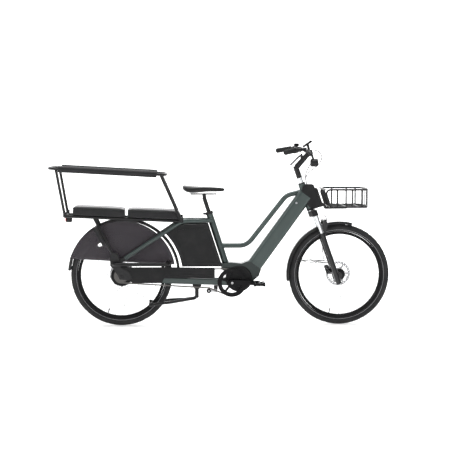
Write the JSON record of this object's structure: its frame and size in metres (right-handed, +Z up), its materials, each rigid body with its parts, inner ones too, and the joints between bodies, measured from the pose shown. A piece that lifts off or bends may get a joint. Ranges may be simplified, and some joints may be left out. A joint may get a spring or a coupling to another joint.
{
  "type": "cargo bicycle",
  "caption": "Longtail cargo bicycle with a step-through frame, mid-drive motor, passenger deck with padded rail, wheel skirts and a frame-mounted front basket.",
  "frame": {"origin": "on the ground, halfway along the bicycle, on its centre plane", "axes": "+X forwards, +Y to the rider's left, +Z up"},
  "size_m": [2.219, 0.6442, 1.2092],
  "materials": {
    "sage_paint": "satin metallic",
    "black_paint": "satin",
    "black_plastic": "fine texture",
    "tyre_rubber": "treaded",
    "grip_rubber": "ribbed",
    "black_alloy": "anodised",
    "silver_alloy": "brushed",
    "steel": "brushed",
    "pad_cover": "coated cloth",
    "saddle_cover": "grained cover",
    "skirt_sheet": "smoked translucent",
    "red_lens": "translucent red",
    "screen": "gloss"
  },
  "bodies": {
    "frame": {"top_tube": "sage_paint", "down_tube": "sage_paint", "seat_tube": "sage_paint", "seat_stays": "sage_paint", "chain_stays": "sage_paint", "motor_unit": "black_paint", "battery": "black_plastic", "frame_fittings": "black_paint", "head_cover": "black_paint", "basket_frame": "black_paint", "rack_frame": "black_paint", "seat_pads": "pad_cover", "passenger_rail": "black_paint", "rail_pads": "pad_cover", "rear_mudguard": "black_plastic", "wheel_skirts": "skirt_sheet", "side_panels": "black_plastic", "chain_case": "black_plastic", "foot_rails": "black_paint", "rear_light": "black_plastic", "rear_lens": "red_lens", "rear_caliper": "black_alloy", "chain": "steel"},
    "steering": {"fork_upper": "silver_alloy", "stem": "black_paint", "handlebar": "black_paint", "grips": "grip_rubber", "brake_masters": "black_alloy", "display": "screen", "headlight": "black_paint", "control_hoses": "grip_rubber"},
    "fork_slider": {"fork_lowers": "black_paint", "front_mudguard": "black_plastic", "front_caliper": "black_alloy", "front_brake_hose": "grip_rubber"},
    "front_wheel": {"front_tyre": "tyre_rubber", "front_rim": "black_alloy", "front_spokes": "steel", "front_hub": "black_alloy", "front_rotor": "steel"},
    "rear_wheel": {"rear_tyre": "tyre_rubber", "rear_rim": "black_alloy", "rear_spokes": "steel", "rear_hub": "black_alloy", "rear_rotor": "steel"},
    "sprocket": {"rear_sprocket": "steel"},
    "crank": {"crankset": "black_alloy"},
    "right_pedal": {"pedal_right": "black_plastic"},
    "left_pedal": {"pedal_left": "black_plastic"},
    "tensioner": {"tensioner_arm": "steel"},
    "roller": {"tensioner_roller": "black_plastic"},
    "stand": {"stand_legs": "black_paint"},
    "right_lever": {"brake_lever_right": "black_alloy"},
    "left_lever": {"brake_lever_left": "black_alloy"},
    "seat": {"seatpost": "black_paint", "saddle": "saddle_cover"},
    "lock": {"battery_lock": "steel"},
    "quick_lever": {"stem_lever": "black_paint"},
    "twist_grip": {"shifter": "grip_rubber"}
  },
  "joints": [
    {"name": "steer", "type": "hinge", "parent": "frame", "child": "steering", "pos_m": [0.74267, 0, 0.31717], "axis": [-0.3289, 0, 0.9444], "range_deg": [-58, 58], "deforming": ["control_hoses"]},
    {"name": "fork_travel", "type": "slide", "parent": "steering", "child": "fork_slider", "axis": [-0.3289, 0, 0.9444], "range_m": [0, 0.04], "stiffness_N_per_m": 6000, "springref_m": -0.03, "deforming": ["front_brake_hose"]},
    {"name": "front_wheel_spin", "type": "hinge", "parent": "fork_slider", "child": "front_wheel", "pos_m": [0.7795, 0, 0.33], "axis": [0, 1, 0], "continuous": true},
    {"name": "rear_wheel_spin", "type": "hinge", "parent": "frame", "child": "rear_wheel", "pos_m": [-0.6445, 0, 0.33], "axis": [0, 1, 0], "continuous": true},
    {"name": "crank_spin", "type": "hinge", "parent": "frame", "child": "crank", "pos_m": [0.0735, 0, 0.2845], "axis": [0, 1, 0], "continuous": true, "deforming": ["chain"]},
    {"name": "sprocket_spin", "type": "hinge", "parent": "frame", "child": "sprocket", "pos_m": [-0.6445, -0.054, 0.33], "axis": [0, 1, 0], "continuous": true},
    {"name": "right_pedal_spin", "type": "hinge", "parent": "crank", "child": "right_pedal", "pos_m": [0.2455, -0.13, 0.2845], "axis": [0, 1, 0], "continuous": true},
    {"name": "left_pedal_spin", "type": "hinge", "parent": "crank", "child": "left_pedal", "pos_m": [-0.0985, 0.13, 0.2845], "axis": [0, 1, 0], "continuous": true},
    {"name": "tensioner_swing", "type": "hinge", "parent": "frame", "child": "tensioner", "pos_m": [-0.0315, -0.046, 0.232], "axis": [0, -1, 0], "range_deg": [0, 12], "stiffness_Nm_per_rad": 0.5, "springref_deg": -22.92},
    {"name": "roller_spin", "type": "hinge", "parent": "tensioner", "child": "roller", "pos_m": [-0.0775, -0.054, 0.23], "axis": [0, 1, 0], "continuous": true},
    {"name": "stand_swing", "type": "hinge", "parent": "frame", "child": "stand", "pos_m": [-0.1545, 0, 0.254], "axis": [0, -1, 0], "range_deg": [0, 103]},
    {"name": "right_brake_pull", "type": "hinge", "parent": "steering", "child": "right_lever", "pos_m": [0.52363, -0.25784, 1.15251], "axis": [0, 0, -1], "range_deg": [0, 14], "stiffness_Nm_per_rad": 1, "springref_deg": -11.46},
    {"name": "left_brake_pull", "type": "hinge", "parent": "steering", "child": "left_lever", "pos_m": [0.52363, 0.25784, 1.15251], "axis": [0, 0, 1], "range_deg": [0, 14], "stiffness_Nm_per_rad": 1, "springref_deg": -11.46},
    {"name": "seat_height", "type": "slide", "parent": "frame", "child": "seat", "axis": [-0.309, 0, 0.9511], "range_m": [-0.06, 0.1]},
    {"name": "lock_turn", "type": "hinge", "parent": "frame", "child": "lock", "pos_m": [0.4939, -0.04, 0.80103], "axis": [0, -1, 0], "range_deg": [0, 90]},
    {"name": "stem_lever_swing", "type": "hinge", "parent": "steering", "child": "quick_lever", "pos_m": [0.53023, 0, 1.11573], "axis": [0, 1, 0], "range_deg": [0, 70]},
    {"name": "shifter_twist", "type": "hinge", "parent": "steering", "child": "twist_grip", "pos_m": [0.46763, -0.24604, 1.148], "axis": [0.7417, 0.6558, 0.1405], "range_deg": [0, 140]}
  ],
  "couplings": [
    {"joint": "sprocket_spin", "follows": "crank_spin", "ratio": 2},
    {"joint": "roller_spin", "follows": "crank_spin", "ratio": -4.5414}
  ]
}
